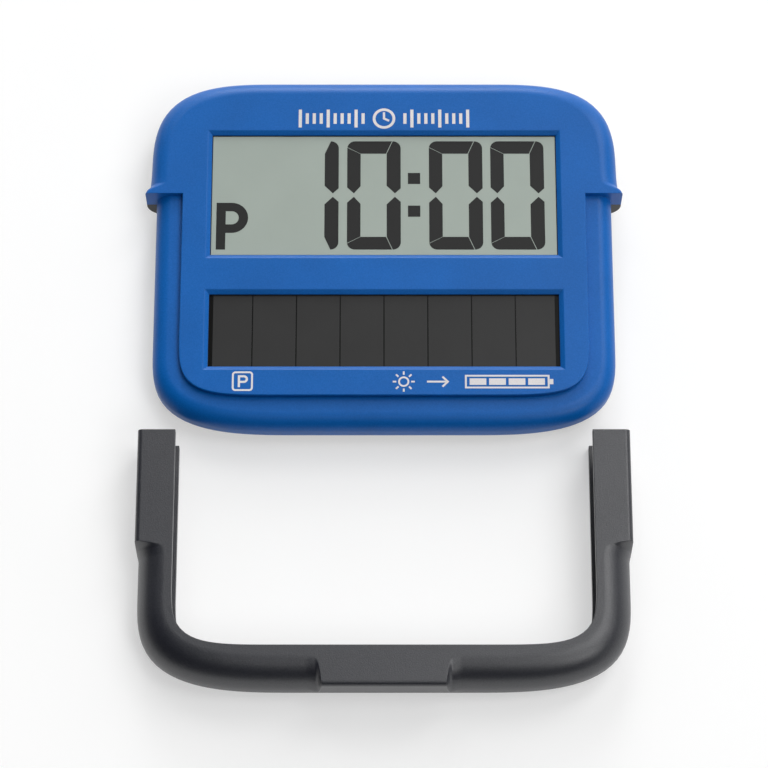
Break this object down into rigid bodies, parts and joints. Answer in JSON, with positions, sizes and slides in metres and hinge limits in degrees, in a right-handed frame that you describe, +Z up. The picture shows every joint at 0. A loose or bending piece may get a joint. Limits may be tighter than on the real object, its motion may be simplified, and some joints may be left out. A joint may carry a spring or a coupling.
{
  "type": "electronic parking disc",
  "caption": "Flat blue handheld display unit with an LCD window over a solar strip, and a dark U-shaped channel holder that slides onto its sides.",
  "frame": {"origin": "centre of the footprint of the unit and its slid-out holder, on the surface that they lie on", "axes": "+Z up, out of the display; +Y towards the top of the display, which is also the way the holder slides on; +X to the right of the display"},
  "size_m": [0.1046, 0.1402, 0.012],
  "materials": {
    "blue_plastic": "fine moulded grain",
    "black_plastic": "fine moulded grain",
    "holder_plastic": "fine moulded grain",
    "foam": "foam",
    "polariser": "satin film",
    "display_glass": "clear",
    "reflector_film": "satin film",
    "zebra_rubber": "layered",
    "white_plastic": "moulded",
    "solar_glass": "dark thin-film cells behind glass",
    "spring_bronze": "plated",
    "board_laminate": "solder mask",
    "epoxy": "cast dome",
    "tinned_metal": "satin",
    "sleeve_plastic": "shrunk sleeve",
    "ceramic_body": "matt",
    "button_plastic": "moulded",
    "cell_steel": "satin",
    "seal_rubber": "moulded",
    "screw_steel": "zinc plated"
  },
  "bodies": {
    "unit": {"front_housing": "blue_plastic", "rear_cover": "black_plastic", "lcd_gasket": "foam", "front_polariser": "polariser", "lcd_front_glass": "display_glass", "lcd_rear_glass": "display_glass", "lcd_reflector": "reflector_film", "upper_zebra_strip": "zebra_rubber", "lower_zebra_strip": "zebra_rubber", "lcd_frame": "white_plastic", "solar_panel": "solar_glass", "solar_gasket": "foam", "solar_contacts": "spring_bronze", "circuit_board": "board_laminate", "controller_chip": "epoxy", "clock_crystal": "tinned_metal", "motion_sensor": "tinned_metal", "storage_capacitor": "sleeve_plastic", "chip_capacitors": "ceramic_body", "left_switch": "black_plastic", "right_switch": "black_plastic", "coin_cell": "cell_steel", "positive_contact": "spring_bronze", "negative_contact": "spring_bronze", "case_screws": "screw_steel", "board_screws": "screw_steel"},
    "holder": {"holder": "holder_plastic"},
    "battery_door": {"battery_door": "black_plastic", "door_seal": "seal_rubber"},
    "left_button": {"left_button": "button_plastic", "left_plunger": "button_plastic"},
    "right_button": {"right_button": "button_plastic", "right_plunger": "button_plastic"}
  },
  "joints": [
    {"name": "holder_slide", "type": "slide", "parent": "unit", "child": "holder", "axis": [0, 1, 0], "range_m": [0, 0.0555]},
    {"name": "door_turn", "type": "hinge", "parent": "unit", "child": "battery_door", "pos_m": [0, 0.01172, 0.0002], "axis": [0, 0, 1], "range_deg": [0, 45]},
    {"name": "left_button_press", "type": "slide", "parent": "unit", "child": "left_button", "axis": [0, 0, 1], "range_m": [0, 0.0005], "stiffness_N_per_m": 2000, "springref_m": -0.0002},
    {"name": "right_button_press", "type": "slide", "parent": "unit", "child": "right_button", "axis": [0, 0, 1], "range_m": [0, 0.0005], "stiffness_N_per_m": 2000, "springref_m": -0.0002}
  ]
}
